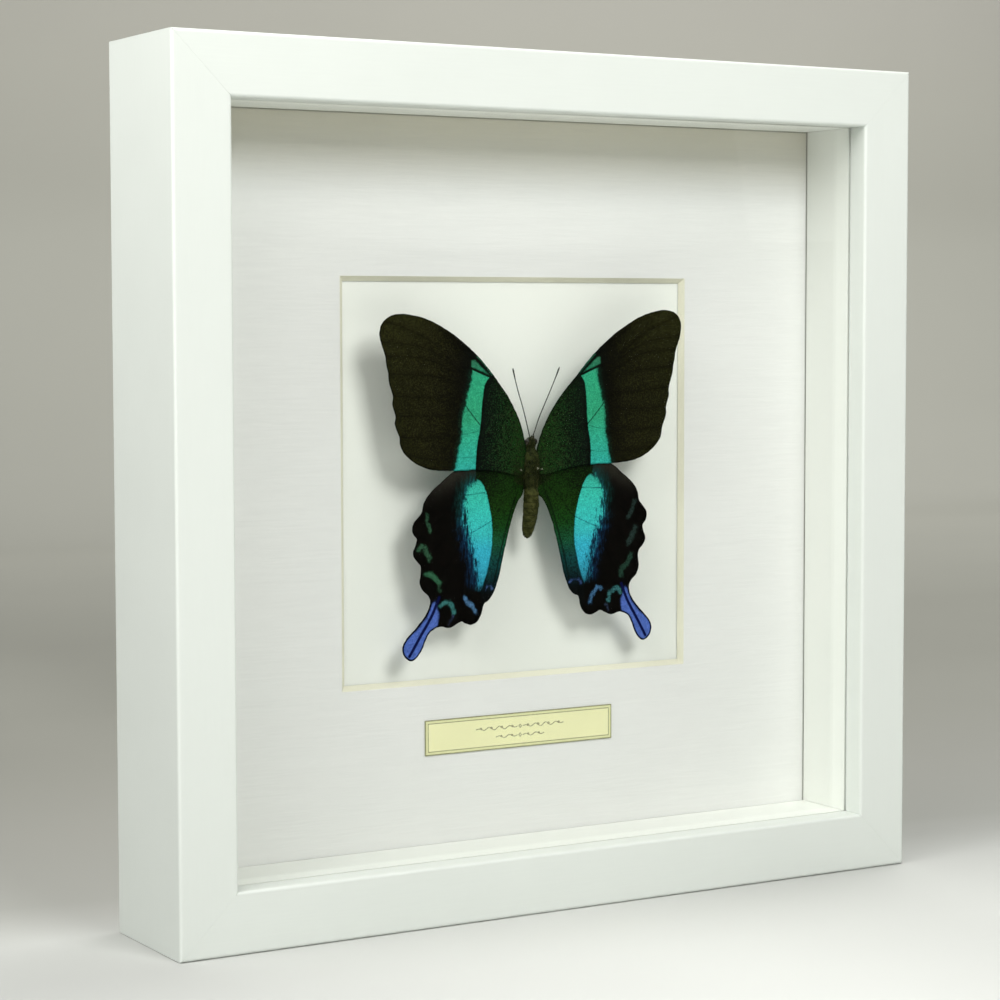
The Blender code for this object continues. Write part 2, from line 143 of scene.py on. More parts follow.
# The crescents and blue marks along each hindwing's margin: a line, its half width and its colour
DULL, GREEN = (38, 54, 50), (52, 90, 66)
HW_MARKS = {
    -1: [
        ([(36.3, -11.2), (36, -13.5), (35, -16)], 0.75, GREEN),
        ([(38.6, -21.2), (37.6, -20.2), (36.4, -21.6), (35.4, -24.2)], 1.0, GREEN),
        ([(36.2, -28.6), (34.8, -28.6), (33.2, -30), (31.8, -31.2)], 1.0, (54, 106, 76)),
        ([(32.2, -31.5), (31.8, -34)], 0.6, GREEN),
        ([(31.6, -38.4), (30.4, -37.4), (28.9, -37.2), (27.6, -38.3), (26.8, -40.5)], 0.85, (64, 128, 124)),
        ([(23.2, -36.2), (22.2, -37.7), (20.6, -38.9), (19.6, -41)], 0.8, (83, 126, 168)),
        ([(28.5, -44), (27.5, -42.5), (27, -41)], 0.4, (58, 70, 100)),
        ([(16.2, -34.4), (15.2, -33.5), (14.2, -33.4), (13.8, -34.2)], 0.5, (75, 98, 150)),
    ],
    1: [
        ([(36.2, -10.6), (35.4, -13), (34, -15.4)], 1.0, DULL),
        ([(36.8, -18.6), (35.6, -21), (34.2, -23.4)], 1.15, DULL),
        ([(35.2, -27), (34, -29.6), (32, -31), (31.8, -33)], 1.1, (38, 66, 54)),
        ([(27.4, -40.6), (27.6, -38.4), (29, -37.4), (30.8, -37), (31.8, -38.5)], 0.85, (60, 116, 118)),
        ([(24.5, -36.6), (23.2, -36.2), (21.8, -37.9), (20.5, -40.8)], 0.8, (72, 116, 156)),
        ([(27.5, -43.4), (26.4, -41.6)], 0.4, (60, 72, 100)),
        ([(13.3, -34.3), (14, -33.6), (16.2, -33.3), (17.5, -34.4)], 0.5, (70, 93, 150)),
    ],
}

# Body stations, head to tail: height from the thorax, radius and depth behind the wing plane, in millimetres
BODY = [
    (10.2, 0.25, 2.6), (9.9, 1.0, 2.6), (9, 1.6, 2.6), (8, 1.7, 2.7), (7, 1.4, 2.8), (6.2, 2.0, 2.8),
    (4.2, 2.8, 2.8), (1, 3.0, 2.8), (-2.5, 2.6, 2.5), (-4.6, 2.0, 2.1), (-6.5, 2.3, 1.7),
    (-10, 2.45, 1.7), (-14, 2.25, 2.2), (-17, 2.0, 3), (-19.3, 1.4, 3.5), (-20.4, 0.2, 3.6),
]
BODY_WIDTH_RATIO = 0.92
RING_PITCH = 1.95
ANTENNA = [
    (0.45, 10.2, 2.3), (1.1, 12, 2.1), (2.4, 16, 1.8), (3.95, 20, 1.3), (5.6, 24, 0.9), (7.1, 28, 0.4),
    (8.1, 31, 0),
]

# Camera: where it stands, how it is turned and how long its lens is
CAMERA_PLACE = (-0.4052, -0.6579, 0.17235)
CAMERA_TURN = (-0.0662206, 0.0201194, -0.5390430)
CAMERA_LENS = 93.54

# Hair: how many, lowest and highest root, outward lean, its spread, lengths and widths in millimetres
COAT = [
    (5200, -4.8, 9.4, 0.35, (0.28, 0.22, 0.3), (0.35, 0.95), (0.02, 0.038)),
    (2600, -20, -4.8, 0.16, (0.12, 0.1, 0.1), (0.15, 0.38), (0.014, 0.024)),
]
ROOT_TUFT_HAIRS = 1300
HAIR_BEND = 0.55

# Fittings and label, in metres except for the gap at the middle of the scroll, in millimetres
GLASS_BEFORE_SPACER = 1.4 * MM
MITRE_INSET = 0.9 * MM
MITRE_SINK = 0.04 * MM
MITRE_HALF = 0.042 * MM
MITRE_SECTION = [(-1, 0.0), (-0.5, -0.00001), (0.5, -0.00001), (1, 0.0), (1, 0.003), (-1, 0.003)]
NAIL_INSET = 3.5 * MM
NAIL_HEIGHT = 0.65 * MM
NAIL_PROFILE = [(0.0014, 0.0), (0.0014, 0.0002), (0.0011, 0.00045), (0.0006, 0.0006)]
SCROLL_GAP = 0.9

# Studio: the backdrop's sweep, then each lamp's place, target, size and power
SWEEP_START = 1.2
SWEEP_RADIUS = 0.3
NEAR = (0.0, 0.0, 0.125)
LAMPS = {
    "key": ((0.05, -0.73, 0.63), NEAR, 0.36, 4.6),
    "left_near": ((-0.6, -0.12, 0.58), NEAR, 0.4, 2.5),
    "left_edge": ((-0.34, 0.0, 0.47), (-0.125, 0.0, 0.2), 0.16, 0.42),
    "left_high": ((-0.7, -0.5, 0.75), NEAR, 0.5, 2.7),
    "left_front": ((-0.9, -0.9, 0.5), NEAR, 0.8, 0.6),
    "right": ((0.9, -0.6, 0.6), NEAR, 0.8, 0.5),
    "backdrop": ((0.9, 0.45, 1.7), (1.05, 1.5, 0.35), 1.2, 26.0),
}
LAMP_COLOR = (1.0, 1.0, 0.97)
AMBIENT = (0.066, 0.066, 0.062)
REFLECTED = (0.006, 0.006, 0.006)
BEYOND = (0.33, 0.33, 0.3)


# ---- plane geometry


def smooth_line(points, step, closed):
    """Points about a step apart on a smooth curve through the given points."""
    given = np.array(points, float)
    count = len(given)
    made = []
    for i in range(count if closed else count - 1):
        if closed:
            a, b, c, d = (given[(i + k) % count] for k in (-1, 0, 1, 2))
        else:
            a, b, c, d = (given[min(max(i + k, 0), count - 1)] for k in (-1, 0, 1, 2))
        steps = max(1, int(round(np.linalg.norm(c - b) / step)))
        for t in np.arange(steps) / steps:
            made.append(
                b + 0.5 * t * (c - a + t * (2 * a - 5 * b + 4 * c - d + t * (3 * (b - c) + d - a)))
            )
    if not closed:
        made.append(given[-1])
    return np.array(made)


def line_distance(points, line):
    """Distance of each point from an open line of points."""
    start, end = line[:-1], line[1:]
    run = end - start
    reach = points[:, None, :] - start[None]
    share = np.clip((reach * run).sum(-1) / np.maximum((run * run).sum(-1), 1e-12), 0, 1)
    return np.linalg.norm(reach - share[..., None] * run, axis=-1).min(1)


def lines_distance(points, lines):
    return np.min([line_distance(points, smooth_line(line, 1, False)) for line in lines], axis=0)


def inside(points, loop):
    """True for each point within a closed loop of points."""
    x, z = points[:, 0, None], points[:, 1, None]
    a, b = loop, np.roll(loop, -1, 0)
    crosses = (a[:, 1] > z) != (b[:, 1] > z)
    at = a[:, 0] + (z - a[:, 1]) * (b[:, 0] - a[:, 0]) / (b[:, 1] - a[:, 1] + 1e-12)
    return (crosses & (x < at)).sum(1) % 2 == 1


def loop_depth(points, loop):
    """Distance inside a closed loop, negative outside it."""
    closed = np.vstack([loop, loop[:1]])
    return line_distance(points, closed) * np.where(inside(points, loop), 1, -1)


def beyond(points, line):
    """Distance outward of a line that runs down the wing, negative on the body's side."""
    curve = smooth_line(line, 0.5, False)
    order = np.argsort(curve[:, 1])
    at = np.interp(points[:, 1], curve[order, 1], curve[order, 0])
    return line_distance(points, curve) * np.sign(points[:, 0] - at)


def under(points, line):
    """Distance below a line that runs across the wing."""
    curve = smooth_line(line, 0.5, False)
    at = np.interp(points[:, 0], curve[:, 0], curve[:, 1])
    return line_distance(points, curve) * np.sign(at - points[:, 1])


# ---- objects and meshes


def add_object(name, data):
    made = bpy.data.objects.new(name, data)
    bpy.context.scene.collection.objects.link(made)
    return made


def add_piece(name, mesh, material, slot, *nodes):
    piece = add_object(name, mesh)
    piece.data.materials.append(material)
    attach(piece, "root")
    if nodes:
        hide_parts(*nodes)


def mesh_of(name, points, faces, place=None, smooth=True):
    """A mesh in metres or, where a place is given, in that place's own units."""
    mesh = bpy.data.meshes.new(name)
    mesh.from_pydata([tuple(point) for point in points], [], faces)
    if place is not None:
        mesh.transform(place)
    mesh.update()
    mesh.polygons.foreach_set("use_smooth", [smooth] * len(mesh.polygons))
    return mesh


def set_values(mesh, name, values):
    layer = mesh.attributes.new(name, "FLOAT", "POINT")
    layer.data.foreach_set("value", np.asarray(values, np.float32))


def set_both_sides(mesh, **values):
    """Values for a shell whose back has the same points as its front."""
    for name, numbers in values.items():
        set_values(mesh, name, np.tile(numbers, 2))


def ring(centre, side, other, radius, count):
    """Points evenly around a centre, turning from one direction towards another."""
    turns = [2 * math.pi * k / count for k in range(count)]
    return [centre + (side * math.cos(turn) + other * math.sin(turn)) * radius for turn in turns]


def loft(rows, first=None, last=None):
    """A closed form through rings that turn leftward seen from the first, ended by tips or flats."""
    around, count = len(rows[0]), len(rows) * len(rows[0])
    points, faces = [point for row in rows for point in row], []
    for a in range(count - around):
        b = a + 1 if (a + 1) % around else a + 1 - around
        faces.append((a, a + around, b + around, b))
    for tip, rim in ((first, tuple(range(around))), (last, tuple(range(count - 1, count - around - 1, -1)))):
        if tip is None:
            faces.append(rim)
        else:
            faces += [(len(points), a, b) for a, b in zip(rim, rim[1:] + rim[:1])]
            points.append(tip)
    return points, faces


def joined(forms):
    """Several forms' points and faces as one form's."""
    points, faces = [], []
    for more_points, more_faces in forms:
        start = len(points)
        points += more_points
        faces += [tuple(start + i for i in face) for face in more_faces]
    return points, faces


def grid_faces(wide, tall):
    """Faces between rows of points, each row wide points long."""
    corners = [j * wide + i for j in range(tall - 1) for i in range(wide - 1)]
    return [(a, a + 1, a + wide + 1, a + wide) for a in corners]


def shell_faces(front, count):
    """Front faces, the same faces behind them turned about, and walls between the two rims."""
    back = [tuple(count + i for i in reversed(face)) for face in front]
    edges = {edge: True for face in front for edge in zip(face, face[1:] + face[:1])}
    walls = [(b, a, a + count, b + count) for a, b in edges if (b, a) not in edges]
    return front + back + walls


# ---- node graphs


def light(color):
    """Linear light of a colour: given so, or as three whole numbers in steps of 255."""
    if not isinstance(color[0], int):
        return color
    parts = [step / 255 for step in color]
    return tuple(part / 12.92 if part <= 0.04045 else ((part + 0.055) / 1.055) ** 2.4 for part in parts)


class Value:
    """What a node gives, with arithmetic and short calls that add further nodes."""

    def __init__(self, graph, socket):
        self.graph, self.socket = graph, socket

    def math(self, operation, other=0.0):
        return self.graph.node("ShaderNodeMath", {0: self, 1: other}, operation=operation)

    def __add__(self, other):
        return self.math("ADD", other)

    def __sub__(self, other):
        return self.math("SUBTRACT", other)

    def __mul__(self, other):
        return self.math("MULTIPLY", other)

    def __truediv__(self, other):
        return self.math("DIVIDE", other)

    def __abs__(self):
        return self.math("ABSOLUTE")

    def most(self, other):
        return self.math("MAXIMUM", other)

    def step(self, low, high, start=0.0, end=1.0):
        """Rises smoothly from start to end as this goes from low to high."""
        inputs = {"Value": self, "From Min": low, "From Max": high, "To Min": start, "To Max": end}
        return self.graph.node("ShaderNodeMapRange", inputs, interpolation_type="SMOOTHSTEP")

    def mix(self, a, b):
        """Colour a where this is 0, and b where it is 1."""
        return self.graph.mix(self, a, b)

    def ramp(self, *stops):
        made = self.graph.node("ShaderNodeValToRGB", {0: self})
        elements = made.socket.node.color_ramp.elements
        while len(elements) < len(stops):
            elements.new(0.5)
        for element, (place, color) in zip(elements, stops):
            element.position = place
            element.color = (*light(color), 1)
        return made


class Graph:
    """The nodes of one material or world, with short calls for the few kinds it needs."""

    def __init__(self, name, kind="Material"):
        self.owner = (bpy.data.worlds if kind == "World" else bpy.data.materials).new(name)
        self.owner.use_nodes = True
        self.tree = self.owner.node_tree
        self.tree.nodes.clear()
        self.end = self.tree.nodes.new(f"ShaderNodeOutput{kind}").inputs["Surface"]

    def feed(self, socket, value):
        if isinstance(value, Value):
            self.tree.links.new(value.socket, socket)
        elif socket.type == "RGBA":
            socket.default_value = (*light(value), 1)
        else:
            socket.default_value = value

    def node(self, kind, inputs=(), out=0, **settings):
        """One output of a new node, by number or name."""
        made = self.tree.nodes.new(kind)
        for key, value in settings.items():
            setattr(made, key, value)
        for key, value in dict(inputs).items():
            self.feed(made.inputs[key], value)
        return Value(self, made.outputs[out])

    def values(self, *names):
        return [self.node("ShaderNodeAttribute", out="Fac", attribute_name=name) for name in names]

    def axis(self, index):
        """How far along x, y or z a place lies."""
        return self.node("ShaderNodeSeparateXYZ", {0: self.node("ShaderNodeTexCoord", out="Object")}, index)

    def normal(self, index):
        facing = self.node("ShaderNodeNewGeometry", out="Normal")
        return self.node("ShaderNodeSeparateXYZ", {0: facing}, index)

    def spread(self, size, stretch=(1, 1, 1)):
        scale = tuple(1 / (size * part) for part in stretch)
        place = self.node("ShaderNodeTexCoord", out="Object")
        return self.node("ShaderNodeMapping", {"Vector": place, "Scale": scale})

    def noise(self, size, detail=2.0, stretch=(1, 1, 1), rough=0.55):
        """Noise between 0 and 1, with features about size metres wide."""
        inputs = {"Vector": self.spread(size, stretch), "Scale": 1.0, "Detail": detail, "Roughness": rough}
        return self.node("ShaderNodeTexNoise", inputs, "Fac")

    def cells(self, size):
        """Distance from the nearest of many points about size metres apart."""
        return self.node("ShaderNodeTexVoronoi", {"Vector": self.spread(size), "Scale": 1.0}, "Distance")

    def mix(self, share, a, b, blend="MIX"):
        return self.node("ShaderNodeMix", {0: share, 6: a, 7: b}, 2, data_type="RGBA", blend_type=blend)

    def scale(self, color, factor):
        """A colour times a number."""
        grey = self.node("ShaderNodeCombineXYZ", dict.fromkeys(range(3), factor))
        return self.mix(1.0, color, grey, "MULTIPLY")

    def bump(self, height, strength, distance, after=None):
        inputs = {"Height": height, "Strength": strength, "Distance": distance}
        if after is not None:
            inputs["Normal"] = after
        return self.node("ShaderNodeBump", inputs)

    def blend(self, share, a, b):
        """Shader a where share is 0, and b where it is 1."""
        return self.node("ShaderNodeMixShader", {0: share, 1: a, 2: b})

    def show(self, shader):
        self.feed(self.end, shader)
        return self.owner

    def surface(self, color, roughness, normal, **more):
        inputs = {"Base Color": color, "Roughness": roughness, "Normal": normal}
        inputs.update((key.replace("_", " "), value) for key, value in more.items())
        return self.show(self.node("ShaderNodeBsdfPrincipled", inputs))


def varied(graph, color, size, amount):
    """A colour that drifts lighter and darker by a share of itself."""
    return graph.scale(color, graph.noise(size, 3).step(0.25, 0.75, 1 - amount, 1 + amount))


# ---- frame materials


def lacquer_material(name, color, stretch):
    """Sprayed satin lacquer over close-grained wood, with painted shade as a dark grey line where the glass
    sits under the top.
    """
    graph = Graph(name)
    grain = graph.noise(0.0005, 4, stretch)
    tone = varied(graph, color, 0.09, 0.012)
    tone = graph.scale(tone, grain.step(0.3, 0.7, 0.993, 1.004))
    dust = graph.noise(0.0011, 6).step(0.66, 0.8, 0, 0.10)
    tone = dust.mix(tone, graph.scale(tone, 0.9))
    glass_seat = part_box("spacer_top")[0].y - GLASS_BEFORE_SPACER
    # Painted shade: a dark line on down-facing faces under the top, along the glass's seat, stronger towards
    # the right.
    painted_seat_shade = abs(graph.axis(1) - glass_seat).step(0.0024, 0.0014) * graph.normal(2).step(-0.3, -0.7)
    painted_seat_shade = painted_seat_shade * graph.axis(0).step(-0.06, 0.08, 0.1, 0.65) * graph.axis(2).step(0.2, 0.22)
    tone = painted_seat_shade.mix(tone, (0.2, 0.2, 0.165))
    gloss = graph.noise(0.02, 4).step(0.3, 0.7, 0.36, 0.46)
    peel = graph.bump(graph.noise(0.0014, 2), 0.10, 0.00006)
    normal = graph.bump(grain, 0.06, 0.00005, peel)
    return graph.surface(tone, gloss, normal, Coat_Weight=0.08, Coat_Roughness=0.3, Specular_IOR_Level=0.42)


def mat_material():
    """Laid card: fine level lines and soft fibres on the face, painted shade along the top and at the
    spacers' edges, painted light on the upper middle, and a cream core where the window is cut.
    """
    graph = Graph("mat_card")
    reach, height = abs(graph.axis(0)), graph.axis(2)
    lines = graph.noise(0.00032, 3, (40, 1, 1))
    fibres = graph.noise(0.0006, 5, (3, 1, 1))
    face = varied(graph, (0.86, 0.86, 0.845), 0.06, 0.01)
    face = graph.scale(face, lines.step(0.3, 0.7, 0.975, 1.012))
    face = graph.scale(face, fibres.step(0.3, 0.7, 0.985, 1.01))
    # Painted shade: a warm tan tint across the top of the card, where the top rail shades it.
    painted_top_shade = height.step(0.208, 0.232) * fibres.step(0.2, 0.6, 0.8, 1)
    face = painted_top_shade.mix(face, graph.mix(1.0, face, (0.9, 0.86, 0.75), "MULTIPLY"))
    # Painted light: the card up to 7% lighter in the middle of its upper part.
    painted_top_light = height.step(0.15, 0.2) * reach.step(0.1, 0.02, 1, 1.07)
    face = graph.scale(face, painted_top_light.most(1.0))
    # Painted shade: a dark line on the card along the spacers' inner edges at the sides and top, where the
    # gap between card and spacer lies.
    seam = reach.step(0.1069, 0.1076).most(height.step(0.2319, 0.2326))
    face = (seam * 0.75).mix(face, (0.2, 0.19, 0.15))
    core = graph.scale((0.85, 0.83, 0.68), graph.noise(0.0004, 4).step(0.3, 0.7, 0.93, 1.04))
    slope = abs(graph.normal(0)) + abs(graph.normal(2))
    tone = slope.step(0.3, 0.5).mix(face, core)
    relief = lines * 0.7 + fibres * 0.5
    return graph.surface(tone, 0.88, graph.bump(relief, 0.35, 0.00008), Specular_IOR_Level=0.25)


def board_material():
    """Smooth faintly green-white mounting paper, with painted light that makes it lighter towards the top."""
    graph = Graph("mount_paper")
    tone = varied(graph, (0.945, 0.96, 0.905), 0.05, 0.012)
    # Painted light: lighter towards the top, darker towards the bottom.
    tone = graph.scale(tone, graph.axis(2).step(0.08, 0.18, 0.95, 1.03))
    pulp = graph.noise(0.0005, 6)
    tone = graph.scale(tone, pulp.step(0.3, 0.7, 0.98, 1.012))
    tone = graph.noise(0.0007, 3).step(0.72, 0.8, 0, 0.25).mix(tone, (0.8, 0.82, 0.72))
    return graph.surface(tone, 0.86, graph.bump(pulp, 0.22, 0.00006), Specular_IOR_Level=0.25)


def hardboard_material():
    """Pressed wood-fibre board with matted strands and a mesh imprint."""
    graph = Graph("hardboard")
    mixed = (graph.noise(0.0009, 6, (3, 1, 1)) + graph.noise(0.0007, 5, (1, 1, 4))) * 0.5
    tone = mixed.ramp(
        (0.3, (0.15, 0.085, 0.045)), (0.46, (0.29, 0.175, 0.095)), (0.56, (0.38, 0.245, 0.14)),
        (0.7, (0.5, 0.35, 0.215)),
    )
    normal = graph.bump(mixed, 0.5, 0.0002, graph.bump(graph.noise(0.0006, 1), 0.3, 0.0001))
    rough = mixed.step(0.3, 0.7, 0.82, 0.68)
    return graph.surface(varied(graph, tone, 0.05, 0.10), rough, normal, Specular_IOR_Level=0.3)


def steel_material():
    """Zinc-plated sheet steel, brushed along its length, with soft stains."""
    graph = Graph("steel")
    brush = graph.noise(0.00025, 4, (25, 1, 1))
    stain = graph.noise(0.004, 4)
    tone = stain.step(0.35, 0.7).mix((0.56, 0.57, 0.58), (0.42, 0.41, 0.385))
    tone = graph.scale(tone, brush.step(0.3, 0.7, 0.86, 1.06))
    rough = brush.step(0.3, 0.7, 0.26, 0.4) + stain.step(0.4, 0.7, 0, 0.14)
    return graph.surface(tone, rough, graph.bump(brush, 0.3, 0.00005), Metallic=1.0)


def foam_material():
    """Close-celled white foam block."""
    graph = Graph("foam")
    cells = graph.cells(0.0006)
    tone = graph.scale((0.8, 0.81, 0.78), cells.step(0.1, 0.8, 0.84, 1.02))
    return graph.surface(tone, 0.85, graph.bump(cells, 0.6, 0.0002), Specular_IOR_Level=0.3)


def glass_material():
    """Thin clear picture glass that lets the lamps through to the specimen."""
    graph = Graph("picture_glass")
    pane = graph.node("ShaderNodeBsdfPrincipled", {
        "Base Color": graph.noise(0.05, 2).step(0.3, 0.7).mix((0.975, 0.99, 0.985), (0.985, 0.995, 0.99)),
        "Roughness": graph.noise(0.03, 4).step(0.45, 0.75, 0.0, 0.02), "Transmission Weight": 1.0, "IOR": 1.5,
    })
    clear = graph.node("ShaderNodeBsdfTransparent", {"Color": (0.985, 0.99, 0.987)})
    shadow, diffuse = (
        graph.node("ShaderNodeLightPath", out=name) for name in ("Is Shadow Ray", "Is Diffuse Ray")
    )
    return graph.show(graph.blend(shadow.most(diffuse), pane, clear))


def dress_frame(nodes):
    """Gives the case, card, boards and fittings their finishes, by the name of the node."""
    finishes = {
        "glass_pane": glass_material(), "mat": mat_material(), "backing_board": board_material(),
        "back_panel": hardboard_material(), "hanger": steel_material(), "specimen_block": foam_material(),
    }
    for side in ("bottom", "left", "top", "right"):
        finishes[f"tab_{side}"] = finishes["hanger"]
    for part, white in (("rail", (0.795, 0.835, 0.795)), ("spacer", (0.925, 0.94, 0.895))):
        level = lacquer_material(f"{part}_lacquer_level", white, (30, 1, 1))
        upright = lacquer_material(f"{part}_lacquer_upright", white, (1, 1, 30))
        finishes.update({
            f"{part}_bottom": level, f"{part}_top": level, f"{part}_left": upright, f"{part}_right": upright,
        })
    for node, finish in finishes.items():
        for entry in nodes[node].material_slots:
            entry.material = finish
    return finishes


# ---- wings


def specimen_place():
    """Places the specimen's own plane, in millimetres, by the block that carries it."""
    low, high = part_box("specimen_block")
    place = Vector(((low.x + high.x) / 2, low.y - BLOCK_STANDOFF, (low.z + high.z) / 2 - BLOCK_RISE))
    turn = Euler((math.radians(SPECIMEN_LEAN), math.radians(SPECIMEN_TILT), 0))
    return Matrix.Translation(place) @ turn.to_matrix().to_4x4() @ MILLIMETRES


def wing_drop(distance):
    """Depth of a wing behind its crest at a distance from the body's axis, in millimetres."""
    root = ROOT_DROP * np.clip(1 - distance / WING_CREST, 0, None) ** 3
    margin = MARGIN_DROP * (np.clip(distance - WING_CREST, 0, None) / (WING_TIP - WING_CREST)) ** 2
    return root + margin


def ragged(loop, seed, size):
    """Roughens an outline a little, as the fringe of scales does."""
    rng = np.random.default_rng(seed)
    ahead = np.roll(loop, -1, 0) - np.roll(loop, 1, 0)
    across = np.stack([ahead[:, 1], -ahead[:, 0]], 1)
    across /= np.linalg.norm(across, axis=1)[:, None] + 1e-9
    push = rng.normal(0, size, len(loop))
    push = (push + np.roll(push, 1)) / 2
    return loop + across * push[:, None]


def fill_outline(loop, spacing):
    """Flat triangles inside an outline, from the outline itself and a grid of inner points."""
    low, high = loop.min(0), loop.max(0)
    rows = []
    for k, z in enumerate(np.arange(low[1], high[1], spacing * math.sqrt(3) / 2)):
        xs = np.arange(low[0] + (k % 2) * spacing / 2, high[0], spacing)
        rows.append(np.stack([xs, np.full(len(xs), z)], 1))
    grid = np.vstack(rows)
    grid = grid[loop_depth(grid, loop) > spacing * 0.55]
    rim = list(range(len(loop)))
    made = geometry.delaunay_2d_cdt([Vector(p) for p in np.vstack([loop, grid])], [], [rim], 1, 1e-7)
    return np.array([tuple(p) for p in made[0]]), [tuple(face) for face in made[2]]


def wing_mesh(name, outline, side, offset, ribs, place, seed):
    """A thin arched wing with raised veins: its mesh, its points laid flat, their distance from a vein."""
    loop = ragged(smooth_line(outline, GRID, True), seed, 0.05)
    flat, faces = fill_outline(loop, GRID)
    rib = lines_distance(flat, ribs)
    drift = np.array([noise.noise(Vector((x * 0.09, z * 0.09, seed))) for x, z in flat])
    ripple = np.array([noise.noise(Vector((x * 0.35, z * 0.35, seed + 9))) for x, z in flat])
    veins = 0.07 * (1 - np.exp(-rib / 1.6)) - 0.07 * np.exp(-((rib / 0.24) ** 2))
    depth = offset + wing_drop(flat[:, 0]) + veins + 0.09 * drift + 0.03 * ripple
    skins = [
        np.stack([side * flat[:, 0], depth + skin, flat[:, 1]], 1) for skin in (-WING_SKIN / 2, WING_SKIN / 2)
    ]
    if side < 0:
        faces = [tuple(reversed(face)) for face in faces]
    return mesh_of(name, np.vstack(skins), shell_faces(faces, len(flat)), place), flat, rib


def shifted(line, kind, side):
    """A line moved out or in along the wing, because the two sides of an animal never match exactly."""
    return [(x + BAND_SHIFT[(kind, side)], z) for x, z in line]


def outline_distance(points, outline):
    return line_distance(points, smooth_line(outline + outline[:1], 0.5, False))


def forewing_values(mesh, flat, rib, side):
    costal = 0.42 - line_distance(flat, smooth_line(FW_COSTAL, 0.5, False))
    set_both_sides(
        mesh, inner=beyond(flat, shifted(FW_INNER, "fore", side)),
        outer=-beyond(flat, shifted(FW_OUTER, "fore", side)), top=under(flat, FW_TOP),
        streak=np.maximum(loop_depth(flat, np.array(FW_STREAK)), costal),
        cell=lines_distance(flat, [FW_CELL]), rib=rib, edge=outline_distance(flat, FOREWING),
        out=flat[:, 0], up=flat[:, 1],
    )


def hindwing_values(mesh, flat, rib, side):
    spots, tint = strokes_depth(flat, HW_MARKS[side])
    set_both_sides(
        mesh, inner=beyond(flat, shifted(HW_INNER, "hind", side)),
        outer=-beyond(flat, shifted(HW_OUTER, "hind", side)), dark=lines_distance(flat, HW_DARK_VEINS),
        fold=lines_distance(flat, [HW_FOLD]), rib=rib, edge=outline_distance(flat, HINDWING), spots=spots,
        tail=loop_depth(flat, np.array(TAIL_BLUE)), tail_rib=lines_distance(flat, [TAIL_RIB]), up=flat[:, 1],
    )
    layer = mesh.attributes.new("spot_tint", "FLOAT_COLOR", "POINT")
    layer.data.foreach_set("color", np.tile(np.column_stack([tint, np.ones(len(tint))]), (2, 1)).ravel())


def strokes_depth(points, strokes):
    """Depth inside the nearest of several tapered strokes, and that stroke's colour."""
    best = np.full(len(points), -50.0)
    tint = np.zeros((len(points), 3))
    for line, half, color in strokes:
        depth = half - line_distance(points, smooth_line(line, 0.4, False))
        closer = depth > best
        best[closer] = depth[closer]
        tint[closer] = light(color)
    return best, tint


def jittered(value, size, amount, detail=3.0):
    """A distance in millimetres pushed in and out by noise."""
    return value + (value.graph.noise(size, detail) - 0.5) * (amount * 2)


def scale_grain(graph, color, amount):
    """Rows of minute scales, seen as a fine speckle."""
    low, high = 1 - amount, 1 + amount
    speck = graph.noise(0.00022, 4, rough=0.75).step(0.3, 0.7, low, high)
    fleck = graph.noise(0.00042, 3, rough=0.7).step(0.34, 0.66, low, high)
    blotch = graph.noise(0.0012, 3).step(0.3, 0.7, 1 - amount * 0.4, 1 + amount * 0.4)
    return graph.scale(color, speck * fleck * blotch)


def green_dust(share):
    """Loose bright scales scattered over a dark ground, as thick as share."""
    speck = share.graph.noise(0.00042, 4, rough=0.8)
    return (speck - share.step(0, 1, 0.66, 0.46)).step(-0.03, 0.07, 0.0, 0.86)


def wing_surface(graph, color):
    grain = graph.noise(0.00016, 2, (1, 1, 2))
    color = scale_grain(graph, color, 0.14)
    return graph.surface(color, 0.62, graph.bump(grain, 0.35, 0.00004), Specular_IOR_Level=0.02)


